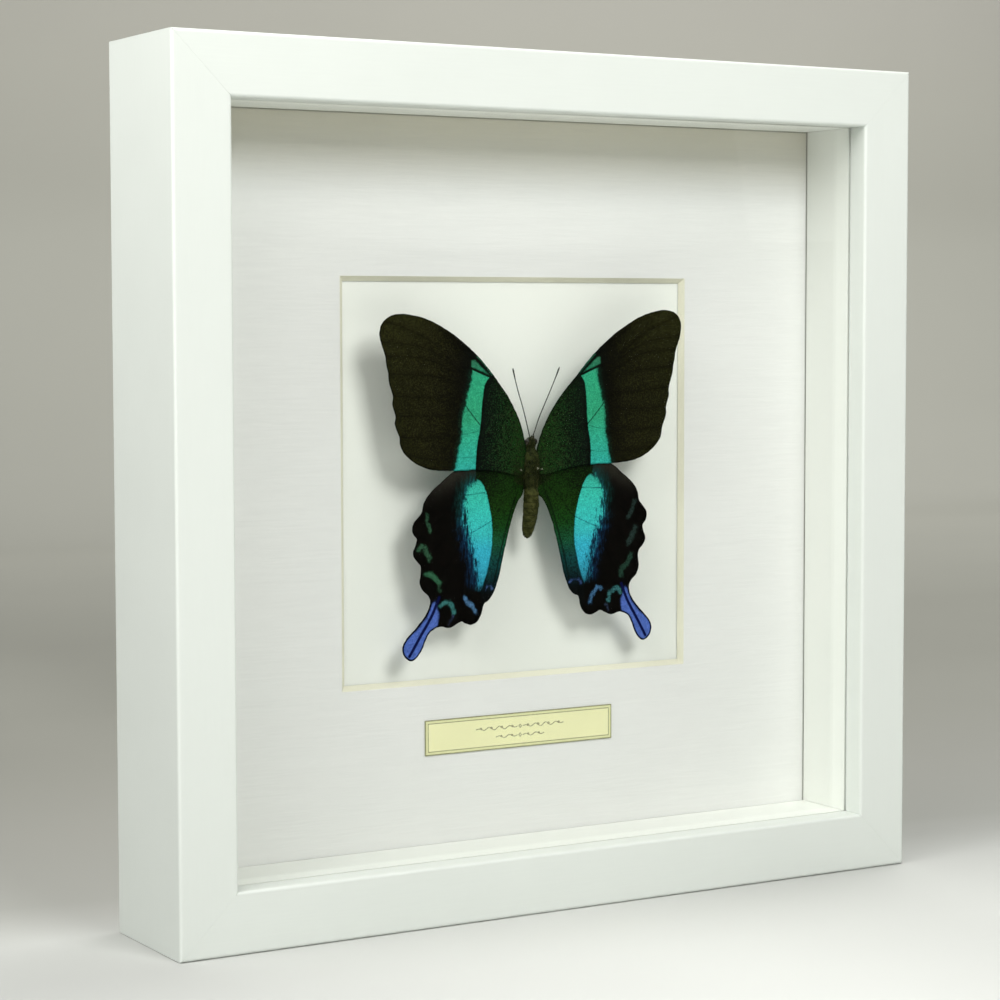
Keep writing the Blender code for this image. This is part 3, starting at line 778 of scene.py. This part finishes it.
def forewing_material():
    """Black wing dusted with green towards the body, crossed by one bright green band."""
    graph = Graph("forewing")
    out, up, rib, edge, inner, outer = graph.values("out", "up", "rib", "edge", "inner", "outer")
    top, streak, cell = graph.values("top", "streak", "cell")
    base = (out / 52).ramp(
        (0.0, (10, 22, 6)), (0.2, (9, 20, 8)), (0.34, (9, 17, 12)), (0.5, (7, 7, 4)), (0.72, (17, 17, 6)),
        (1.0, (22, 23, 8)),
    )
    apex = up.step(26, 46) * out.step(28, 48)
    base = (apex * 0.65).mix(base, (33, 33, 13))
    olive = graph.noise(0.0004, 3, rough=0.75).step(0.46, 0.62, 0, 0.62) * out.step(20, 34)
    base = olive.mix(scale_grain(graph, base, 0.3), (47, 47, 20))
    between = rib.step(0.3, 1.6) * outer.step(-3, -8)
    base = graph.scale(base, between.step(0, 1, 0.92, 1.1))
    base = rib.step(0.34, 0.08, 0, 0.45).mix(base, (9, 8, 4))
    near_body = inner.step(0, -18, 0.5, 0.95)
    dust = inner.step(-0.2, -2.5) * green_dust(near_body)
    green = near_body.mix((18, 56, 40), (27, 66, 20))
    brown = graph.noise(0.0006, 4, rough=0.75).step(0.45, 0.58, 0, 0.75)
    base = dust.mix(base, brown.mix(green, (44, 46, 26)))
    inner = jittered(inner, 0.0006, 0.16)
    outer = jittered(outer, 0.0009, 0.9, 4)
    top = jittered(top, 0.0006, 0.12)
    band = inner.step(-0.1, 0.24) * outer.step(-0.25, 0.75) * top.step(0.02, 0.3)
    band = band.most(jittered(streak, 0.0006, 0.25).step(-0.15, 0.4, 0, 0.6))
    band = band * cell.step(0.07, 0.3, 0.12, 1) * rib.step(0.05, 0.25, 0.42, 1)
    bright = (up / 36).ramp(
        (0.0, (47, 164, 158)), (0.12, (49, 168, 150)), (0.3, (49, 164, 134)), (0.45, (49, 156, 116)),
        (0.8, (49, 162, 122)), (1.0, (70, 130, 96)),
    )
    halo = outer.step(-1.8, 0.1, 0, 0.5) * inner.step(0, 1) * top.step(-0.4, 0.6)
    halo = halo * graph.noise(0.0004, 4, rough=0.8).step(0.4, 0.65, 0.2, 1)
    color = band.mix(halo.mix(base, (22, 66, 52)), scale_grain(graph, bright, 0.1))
    return wing_surface(graph, graph.scale(color, edge.step(0.0, 0.55, 0.35, 1)))


def hindwing_material():
    """Black tailed wing, green towards the body, with a teal-blue band, crescents and a blue tail."""
    graph = Graph("hindwing")
    up, rib, edge, fold, inner, outer = graph.values("up", "rib", "edge", "fold", "inner", "outer")
    dark, spots, tail, tail_rib = graph.values("dark", "spots", "tail", "tail_rib")
    down = up * -1.0
    basal = (down / 40).ramp(
        (0.0, (10, 20, 6)), (0.25, (12, 26, 6)), (0.4, (12, 34, 12)), (0.52, (13, 44, 26)),
        (0.66, (11, 38, 36)), (0.82, (8, 16, 18)), (0.9, (6, 7, 6)),
    )
    dusting = (down / 40).ramp(
        (0.0, (24, 52, 14)), (0.25, (27, 60, 15)), (0.4, (25, 72, 24)), (0.52, (29, 88, 56)),
        (0.66, (22, 74, 72)), (0.82, (12, 34, 40)), (0.9, (8, 12, 12)),
    )
    basal = green_dust(fold.step(14, 2, 0.55, 0.95)).mix(basal, dusting)
    basal = fold.step(0.45, 0.12, 0, 0.8).mix(basal, (6, 14, 7))
    costal = up.step(-10, 1) * edge.step(7, 0.5)
    outward = costal.mix((6, 5, 3), (42, 40, 34))
    outward = graph.noise(0.003, 4).step(0.45, 0.7, 0, 0.5).mix(outward, (13, 9, 7))
    base = inner.step(0.4, -0.4).mix(outward, basal)
    base = rib.step(0.4, 0.12, 0, 0.35).mix(base, (5, 6, 4))
    inner = jittered(inner, 0.0006, 0.22)
    rays = graph.noise(0.0006, 5, (1, 1, 5), 0.75)
    fray = up.step(-3, -14, 0.35, 1) * rays.step(0.32, 0.68, -1.6, 1.5)
    outer = jittered(outer, 0.0011, 1.3, 5) + fray
    within = inner.step(0, 1) * up.step(-35, -31)
    far = outer.step(-4.6, 0.4) * within * rays.step(0.3, 0.65, 0.25, 1)
    blue = up.step(-9, -20).mix((20, 70, 66), (22, 62, 100))
    base = (far * 0.75).mix(base, blue)
    near = outer.step(-1.5, 0.5) * within * up.step(-2, -12, 0.3, 1) * rays.step(0.35, 0.6, 0.2, 1)
    base = (near * 0.7).mix(base, (36, 122, 140))
    band = inner.step(-0.15, 0.28) * outer.step(-0.3, 1.2) * dark.step(0.05, 0.27, 0.2, 1)
    band = band * rib.step(0.04, 0.22, 0.7, 1) * up.step(-35.2, -33.6)
    bright = (down / 36).ramp(
        (0.03, (52, 160, 140)), (0.2, (58, 188, 170)), (0.34, (58, 190, 182)), (0.5, (58, 184, 186)),
        (0.62, (54, 174, 198)), (0.76, (52, 164, 192)), (0.87, (46, 142, 166)), (0.97, (34, 92, 110)),
    )
    color = band.mix(base, scale_grain(graph, bright, 0.08))
    broken = graph.noise(0.0005, 4, rough=0.8).step(0.36, 0.56, 0.25, 1)
    mark = jittered(spots, 0.0011, 1.1, 5).step(-0.15, 0.75, 0, 0.95) * broken
    tint = graph.node("ShaderNodeAttribute", out="Color", attribute_name="spot_tint")
    color = mark.mix(color, tint)
    tail = jittered(tail, 0.0006, 0.3).step(-0.1, 0.8) * edge.step(0.25, 0.7)
    color = tail.mix(color, scale_grain(graph, (78, 104, 182), 0.12))
    stem = tail_rib.step(0.62, 0.3) * up.step(-33, -36)
    color = stem.mix(color, (10, 16, 62))
    return wing_surface(graph, graph.scale(color, edge.step(0.0, 0.5, 0.45, 1)))


def add_wings(place):
    """Two forewings, each over the hindwing of its side."""
    fore, hind = forewing_material(), hindwing_material()
    for label, side in (("left", -1), ("right", 1)):
        mesh, flat, rib = wing_mesh(
            f"forewing_{label}_form", FOREWING, side, -WING_STEP, FW_VEINS + [FW_CELL], place, SEED + side,
        )
        forewing_values(mesh, flat, rib, side)
        add_piece(f"forewing_{label}_scaled", mesh, fore, "forewing", f"forewing_{label}")
        ribs = HW_VEINS + HW_DARK_VEINS + [TAIL_RIB]
        mesh, flat, rib = wing_mesh(
            f"hindwing_{label}_form", HINDWING, side, WING_STEP, ribs, place, SEED + 5 + side,
        )
        hindwing_values(mesh, flat, rib, side)
        add_piece(f"hindwing_{label}_scaled", mesh, hind, "hindwing", f"hindwing_{label}")


# ---- body


def body_point(height, angle):
    """A point on the body's skin, with the abdomen's rings and a ridge down the back."""
    stations = np.array(BODY)[::-1]
    radius, drop = (float(np.interp(height, stations[:, 0], stations[:, k])) for k in (1, 2))
    if height < -5.2:
        radius *= 0.975 + 0.045 * abs(math.sin(math.pi * (height + 5.2) / RING_PITCH)) ** 0.5
    radius *= 1 + 0.05 * noise.noise(Vector((math.cos(angle), math.sin(angle), height * 0.4)) * 1.7)
    ridge = 0.16 * math.exp(-((math.sin(angle) + 1) / 0.12) ** 2) if -5 > height > -19 else 0
    x = radius * BODY_WIDTH_RATIO * math.cos(angle)
    return Vector((x, drop + (radius + ridge) * math.sin(angle), height))


def body_skin(place):
    heights = np.concatenate([np.linspace(10.2, -5, 60), np.linspace(-5.2, -20.4, 110)])
    around = 56
    turns = [2 * math.pi * k / around for k in range(around)]
    rows = [[body_point(float(height), turn) for turn in turns] for height in heights]
    mesh = mesh_of("body_form", *loft(rows), place)
    set_values(mesh, "up", np.repeat(heights, around))
    return mesh


def body_material():
    """Dark olive skin with darker rings between the segments."""
    graph = Graph("body_skin")
    (up,) = graph.values("up")
    blot = graph.noise(0.0012, 5).step(0.35, 0.65)
    chest, belly = blot.mix((20, 26, 9), (56, 62, 30)), blot.mix((40, 43, 16), (72, 73, 38))
    ring_wave = abs(((up + 5.2) * (math.pi / RING_PITCH)).math("SINE"))
    seam = ring_wave.step(0.35, 0.05) * up.step(-5, -6)
    color = (seam * 0.6).mix(up.step(-4, -7).mix(chest, belly), (20, 22, 10))
    pits = graph.bump(graph.noise(0.0003, 4), 0.6, 0.00015)
    return graph.surface(color, 0.7, pits, Specular_IOR_Level=0.05)


def hair_mesh(name, hairs, place):
    """Fine tapering hairs: each has a root, a lean, a length, a width and a tone."""
    forms = []
    for root, lean, length, width, _ in hairs:
        lean = lean.normalized()
        side = lean.orthogonal().normalized()
        droop = Vector((0, 0, -1)) * length * 0.28
        rows = []
        for share, thick in ((0, 1), (HAIR_BEND, 0.7)):
            centre = root + lean * length * share + droop * share * share
            rows.append(ring(centre, side, side.cross(lean), width * thick, 3))
        forms.append(loft(rows, last=root + lean * length + droop))
    mesh = mesh_of(name, *joined(forms), place)
    set_values(mesh, "along", [0, 0, 0, HAIR_BEND, HAIR_BEND, HAIR_BEND, 1] * len(hairs))
    set_values(mesh, "tone", np.repeat([hair[-1] for hair in hairs], 7))
    return mesh


def coat_hairs():
    """Close-lying hair on the thorax and head, a short nap on the abdomen, and tufts at the wing roots."""
    rng = random.Random(SEED)
    hairs = []
    for count, low, high, outward, spread, lengths, widths in COAT:
        for _ in range(count):
            height = rng.uniform(low, high)
            angle = rng.uniform(0, 2 * math.pi)
            lean = Vector((math.cos(angle) * outward, math.sin(angle) * outward, -1))
            lean += Vector([rng.gauss(0, part) for part in spread])
            length = rng.uniform(*lengths) * (0.6 if height > 7 else 1)
            hairs.append((body_point(height, angle), lean, length, rng.uniform(*widths), rng.random()))
    for side in (-1, 1):
        for _ in range(ROOT_TUFT_HAIRS):
            reach = rng.uniform(1.8, 6.5)
            height = rng.uniform(-5, 6.8)
            drop = float(wing_drop(np.array([reach]))[0]) - 0.34
            root = Vector((side * reach, drop, height * (1 - reach / 14)))
            lean = Vector((side, -0.16, rng.gauss(-0.5, 0.35)))
            length = rng.uniform(0.5, 1.4) * (1.1 - reach / 8)
            hairs.append((root, lean, length, rng.uniform(0.018, 0.032), rng.random() * 0.6))
    return hairs


def hair_material(name, root, tip, pale):
    graph = Graph(name)
    tone, along = graph.values("tone", "along")
    color = tone.step(0.72, 0.95, 0, 0.75).mix(along.mix(root, tip), pale)
    color = graph.scale(color, graph.noise(0.0008, 3).step(0.3, 0.7, 0.75, 1.25))
    scuffs = graph.bump(graph.noise(0.0001, 2), 0.2, 0.00001)
    return graph.surface(color, 0.6, scuffs, Specular_IOR_Level=0.06)


def ellipsoid(centre, radii, rings=18, turns=26, lumpy=0.0):
    """A rounded form about a centre, all in millimetres."""
    centre, tip = Vector(centre), Vector((0, 0, radii[2]))
    rows = []
    for i in range(1, rings):
        polar = math.pi * i / rings
        row = []
        for k in range(turns):
            turn = 2 * math.pi * k / turns
            out = math.sin(polar)
            way = Vector((out * math.cos(turn), out * math.sin(turn), math.cos(polar)))
            push = 1 + lumpy * noise.noise(way * 2.3 + centre)
            row.append(way * Vector(radii) * push + centre)
        rows.append(row)
    return loft(rows, centre + tip, centre - tip)


def add_head(place):
    """Two bulging many-faceted eyes, and the pair of palps between them."""
    graph = Graph("eye")
    facets = graph.cells(0.00011)
    tone = graph.noise(0.0009, 2).step(0.35, 0.65).mix((16, 14, 9), (34, 28, 18))
    tone = graph.scale(tone, facets.step(0.2, 0.7, 1.1, 0.75))
    finish = graph.surface(tone, 0.24, graph.bump(facets, 0.5, 0.00003), Specular_IOR_Level=0.5)
    forms = [ellipsoid((side * 1.25, 2.35, 8.75), (0.78, 0.95, 1.0)) for side in (-1, 1)]
    add_piece("eyes", mesh_of("eyes_form", *joined(forms), place), finish, "body")
    graph = Graph("palps")
    fuzz = graph.noise(0.00025, 4)
    tone = fuzz.step(0.35, 0.65).mix((22, 24, 12), (62, 62, 40))
    finish = graph.surface(tone, 0.75, graph.bump(fuzz, 0.6, 0.0001), Specular_IOR_Level=0.2)
    forms = [ellipsoid((side * 0.36, 1.55, 9.95), (0.26, 0.3, 0.85), 14, 16, 0.15) for side in (-1, 1)]
    add_piece("palps", mesh_of("palps_form", *joined(forms), place), finish, "body")


def tube(path, radii, around):
    """A closed round rod along a path, with a radius at each point, in millimetres."""
    rows = []
    for i, centre in enumerate(path):
        ahead = path[min(i + 1, len(path) - 1)] - path[max(i - 1, 0)]
        side = ahead.cross(Vector((0, 1, 0))).normalized()
        rows.append(ring(centre, side, side.cross(ahead).normalized(), radii[i], around))
    return loft(rows)


def add_antennae(place):
    """Ringed antennae that swell into a club at the tip."""
    graph = Graph("antenna")
    (share,) = graph.values("share")
    rings = graph.noise(0.0005, 2, (8, 8, 1))
    tone = rings.step(0.4, 0.6).mix((32, 35, 28), (66, 70, 60))
    tone = share.step(0.82, 0.97).mix(tone, (40, 44, 36))
    finish = graph.surface(tone, 0.5, graph.bump(rings, 0.4, 0.00005), Specular_IOR_Level=0.35)
    line = smooth_line(ANTENNA, 0.16, False)
    shares = np.linspace(0, 1, len(line))
    club = 0.09 * np.exp(-(((shares - 0.93) / 0.065) ** 2))
    radii = 0.155 - 0.02 * shares + club + 0.014 * np.abs(np.sin(np.arange(len(line)) * math.pi / 4))
    radii[-3:] *= (0.85, 0.6, 0.25)
    for label, side in (("left", -1), ("right", 1)):
        path = [Vector((side * x, drop, height)) for x, height, drop in line]
        mesh = mesh_of(f"antenna_{label}_form", *tube(path, radii, 10), place)
        set_values(mesh, "share", np.repeat(shares, 10))
        add_piece(f"antenna_{label}_ringed", mesh, finish, "antenna", f"antenna_{label}")


def add_tufts(place):
    """Small pale tufts of hair on the shoulders."""
    rng = random.Random(SEED + 3)
    hairs = []
    for x, z in ((-4.1, 0.7), (1.0, 1.1), (3.2, 0.7)):
        drop = 2.8 - math.sqrt(9 - x * x) if abs(x) < 2.6 else 1.2
        for _ in range(26):
            root = Vector((x + rng.gauss(0, 0.14), drop - 0.1, z + rng.gauss(0, 0.1)))
            lean = Vector((rng.gauss(0, 0.5), -1, rng.gauss(-0.5, 0.4)))
            hairs.append((root, lean, rng.uniform(0.25, 0.55), 0.035, rng.random()))
    finish = hair_material("pale_hair", (120, 122, 100), (190, 190, 170), (225, 225, 210))
    add_piece("shoulder_tufts", hair_mesh("tuft_form", hairs, place), finish, "body")


def add_body(place):
    add_piece("body_skin", body_skin(place), body_material(), "body", "butterfly_body")
    coat = hair_material("coat_hair", (17, 22, 8), (50, 58, 22), (92, 90, 48))
    add_piece("body_hair", hair_mesh("hair_form", coat_hairs(), place), coat, "body")
    add_head(place)
    add_tufts(place)
    add_antennae(place)


# ---- label and fittings


def vine(start, end, height, rise, waves):
    """A wavy line between two places, as the printed flourish follows."""
    xs = np.linspace(start, end, int(abs(end - start) * 6))
    phase = (xs - start) / (end - start)
    taper = np.sin(np.pi * phase) ** 0.6
    return np.stack([xs, height + rise * taper * np.sin(2 * np.pi * waves * phase)], 1)


def curl(centre_x, centre_z, size, turn):
    angles = np.linspace(0, 1.6 * math.pi, 18)
    radii = size * (1 - 0.55 * angles / angles[-1])
    return np.stack([centre_x + turn * radii * np.cos(angles), centre_z + radii * np.sin(angles)], 1)


def flourish_lines():
    """Two symmetrical printed scrolls, the upper one longer."""
    lines = []
    for reach, height, rise, waves in ((15.5, 1.15, 0.5, 4), (8.5, -1.55, 0.4, 2)):
        for side in (-1, 1):
            lines.append(vine(side * SCROLL_GAP, side * reach, height, rise * side, waves))
            for k in range(waves):
                x = side * (SCROLL_GAP + (reach - SCROLL_GAP) * (k + 0.5) / waves)
                lines.append(curl(x, height + 0.1, rise * 0.8, side))
        diamond = [(0, 0.55), (0.45, 0), (0, -0.55), (-0.45, 0), (0, 0.55)]
        lines.append(np.array(diamond) + (0, height))
    return lines


def label_material():
    """Cream paper printed with a line at the very edge, a thin line within it, and the scroll."""
    graph = Graph("label_paper")
    rim, ink = graph.values("rim", "ink")
    pulp = graph.noise(0.0004, 5)
    paper = varied(graph, (247, 245, 196), 0.012, 0.02)
    paper = graph.scale(paper, pulp.step(0.3, 0.7, 0.97, 1.02))
    paper = rim.step(1.1, 0.95, 0, 0.55).mix(paper, (214, 215, 164))
    border = rim.step(0.36, 0.2).most(abs(rim - 1.05).step(0.17, 0.06))
    printed = border.most(jittered(ink, 0.0003, 0.03).step(0.2, 0.08))
    worn = graph.noise(0.0005, 4).step(0.25, 0.6, 0.55, 0.85)
    tone = (printed * worn).mix(paper, (112, 112, 78))
    return graph.surface(tone, 0.8, graph.bump(pulp, 0.25, 0.00005), Specular_IOR_Level=0.25)


def add_label():
    """A paper slip with a double printed border and a scroll in place of lettering."""
    low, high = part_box("label")
    half = (high - low) / (2 * MM)
    wide, tall = 265, 43
    xs, zs = np.meshgrid(np.linspace(-half.x, half.x, wide), np.linspace(-half.z, half.z, tall))
    flat = np.stack([xs.ravel(), zs.ravel()], 1)
    lift = 0.05 * (np.abs(flat[:, 0]) / half.x) ** 6
    skins = [np.stack([flat[:, 0], y, flat[:, 1]], 1) for y in (-lift, np.full(len(flat), 2 * half.y))]
    place = Matrix.Translation(((low.x + high.x) / 2, low.y, (low.z + high.z) / 2)) @ MILLIMETRES
    faces = shell_faces(grid_faces(wide, tall), len(flat))
    mesh = mesh_of("label_form", np.vstack(skins), faces, place, False)
    set_both_sides(
        mesh, ink=np.min([line_distance(flat, line) for line in flourish_lines()], axis=0),
        rim=np.minimum(half.x - np.abs(flat[:, 0]), half.z - np.abs(flat[:, 1])),
    )
    add_piece("label_slip", mesh, label_material(), "label_paper", "label")


def add_mitre_paint(lacquer):
    """Lacquer that fills the front of each mitre, a hair below the face."""
    low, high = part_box("rail_left")
    near, far = abs(high.x) + MITRE_INSET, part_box("rail_bottom")[1].x - MITRE_INSET
    centre = Vector((0, low.y + MITRE_SINK, (low.z + high.z) / 2))
    forms = []
    for turn in (1, 3, 5, 7):
        along = Vector((math.cos(turn * math.pi / 4), 0, math.sin(turn * math.pi / 4)))
        across = Vector((-along.z, 0, along.x)) * MITRE_HALF
        rows = []
        for k in range(13):
            place = centre + along * (near + (far - near) * k / 12) * math.sqrt(2)
            rows.append([place + across * side + Vector((0, depth, 0)) for side, depth in MITRE_SECTION])
        forms.append(loft(rows))
    add_piece("mitre_paint", mesh_of("mitre_form", *joined(forms), None, False), lacquer, "lacquer")


def add_hanger_nails(steel):
    """Two domed nails hold the hanging strip to the back."""
    low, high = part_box("hanger")
    forms = []
    for side in (-1, 1):
        x = (low.x + high.x) / 2 + side * ((high.x - low.x) / 2 - NAIL_INSET)
        base = Vector((x, high.y + 0.02 * MM, (low.z + high.z) / 2))
        rows = []
        for radius, rise in NAIL_PROFILE:
            rows.append(ring(base + Vector((0, rise, 0)), Vector((1, 0, 0)), Vector((0, 0, 1)), radius, 24))
        forms.append(loft(rows, last=base + Vector((0, NAIL_HEIGHT, 0))))
    add_piece("hanger_nails", mesh_of("nails_form", *joined(forms), None, False), steel, "steel")


# ---- studio


def floor_tone_with_painted_falloff(graph):
    """Pale paper under the case with painted light falloff that greys it with distance, painted shade to the
    sides, then up the backdrop.
    """
    x, y, z = (graph.axis(index) for index in range(3))
    # Painted light and shade: the floor darkens with distance from the key lamp, with a sharper step part way
    # back.
    floor = ((y + x * 0.1 + 0.3) / 1.5).ramp(
        (0.0, (0.76, 0.77, 0.75)), (0.15, (0.73, 0.74, 0.72)), (0.2, (0.66, 0.67, 0.65)),
        (0.235, (0.51, 0.515, 0.485)), (0.3, (0.49, 0.49, 0.455)), (0.375, (0.45, 0.45, 0.41)),
        (0.48, (0.415, 0.415, 0.375)), (0.64, (0.415, 0.415, 0.375)), (0.87, (0.5, 0.5, 0.455)),
        (1.0, (0.55, 0.55, 0.5)),
    )
    wall = (z / 0.8).ramp(
        (0.0, (0.47, 0.47, 0.43)), (0.12, (0.49, 0.49, 0.445)), (0.31, (0.555, 0.555, 0.505)),
        (0.5, (0.565, 0.56, 0.51)), (0.65, (0.54, 0.53, 0.49)), (1.0, (0.52, 0.51, 0.47)),
    )
    # Painted light: the backdrop lighter towards the right.
    wall = graph.scale(wall, x.step(0.3, 1.6, 0.95, 1.09))
    # Painted shade: the floor darker towards the left, and a little darker beyond 0.1 m to the right.
    floor = graph.scale(floor, x.step(-0.3, 0.08, 0.72, 1.0) * x.step(-0.02, 0.1, 1.0, 0.85))
    return y.step(1.1, 1.3).mix(floor, wall)


def add_stage():
    """A pale floor that sweeps up, well behind the case, into a plain grey backdrop."""
    profile = [(y, 0.0) for y in (-1.6, -0.8, -0.3, 0.0, 0.4, 0.8, SWEEP_START)]
    for k in range(1, 25):
        turn = math.pi / 2 * k / 24
        profile.append((SWEEP_START + SWEEP_RADIUS * math.sin(turn), SWEEP_RADIUS * (1 - math.cos(turn))))
    profile += [(SWEEP_START + SWEEP_RADIUS, z) for z in (0.9, 2.4)]
    wide = 12
    points = [(x, y, z - 0.1 * MM) for y, z in profile for x in np.linspace(-2.6, 2.6, wide)]
    graph = Graph("sweep_paper")
    tone = varied(graph, floor_tone_with_painted_falloff(graph), 0.2, 0.01)
    paper = graph.surface(tone, 0.9, graph.bump(graph.noise(0.002, 3), 0.05, 0.0002), Specular_IOR_Level=0.1)
    sweep = add_object("sweep", mesh_of("sweep_form", points, grid_faces(wide, len(profile))))
    sweep.data.materials.append(paper)
    sweep.visible_glossy = False
    sweep.visible_transmission = False
    sweep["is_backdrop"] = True


def add_lamps():
    for name, (place, target, size, power) in LAMPS.items():
        data = bpy.data.lights.new(name, "AREA")
        data.shape = "SQUARE"
        data.size = size
        data.energy = power
        data.color = LAMP_COLOR
        lamp = add_object(name, data)
        lamp.location = place
        lamp.visible_camera = False
        lamp.rotation_euler = (Vector(target) - Vector(place)).to_track_quat("-Z", "Y").to_euler()


def add_world():
    """Even light from all round, dimmer in gloss and glass, and plain grey beyond the floor."""
    graph = Graph("room_light", "World")
    bpy.context.scene.world = graph.owner
    glows = [graph.node("ShaderNodeBackground", {"Color": color}) for color in (AMBIENT, REFLECTED, BEYOND)]
    kinds = ("Is Glossy Ray", "Is Transmission Ray", "Is Camera Ray")
    glossy, through, direct = (graph.node("ShaderNodeLightPath", out=kind) for kind in kinds)
    graph.show(graph.blend(direct, graph.blend(glossy.most(through), glows[0], glows[1]), glows[2]))


def add_camera():
    data = bpy.data.cameras.new("camera")
    data.sensor_width = 36
    data.lens = CAMERA_LENS
    data.clip_start = 0.01
    data.clip_end = 20
    camera = add_object("camera", data)
    turn = Vector(CAMERA_TURN)
    swing = Matrix.Rotation(turn.length, 4, turn.normalized())
    camera.matrix_world = Matrix.Translation(CAMERA_PLACE) @ swing @ Matrix.Rotation(math.pi / 2, 4, "X")
    bpy.context.scene.camera = camera
    bpy.context.scene.view_settings.view_transform = "Standard"


def numbers(box):
    return [[float(part) for part in corner] for corner in box]


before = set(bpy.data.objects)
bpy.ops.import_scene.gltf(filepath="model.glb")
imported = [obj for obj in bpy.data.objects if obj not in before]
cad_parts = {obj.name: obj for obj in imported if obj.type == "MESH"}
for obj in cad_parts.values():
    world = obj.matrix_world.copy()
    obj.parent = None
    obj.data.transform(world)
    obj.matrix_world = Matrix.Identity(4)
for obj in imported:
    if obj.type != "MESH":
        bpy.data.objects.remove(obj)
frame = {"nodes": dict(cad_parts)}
cad_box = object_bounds()
finishes = dress_frame(frame["nodes"])
plane = specimen_place()
add_wings(plane)
add_body(plane)
add_label()
add_hanger_nails(finishes["hanger"])
add_mitre_paint(finishes["rail_left"])
add_stage()
add_lamps()
add_world()
add_camera()
visual_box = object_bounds()
{"cad": numbers(cad_box), "visual": numbers(visual_box)}
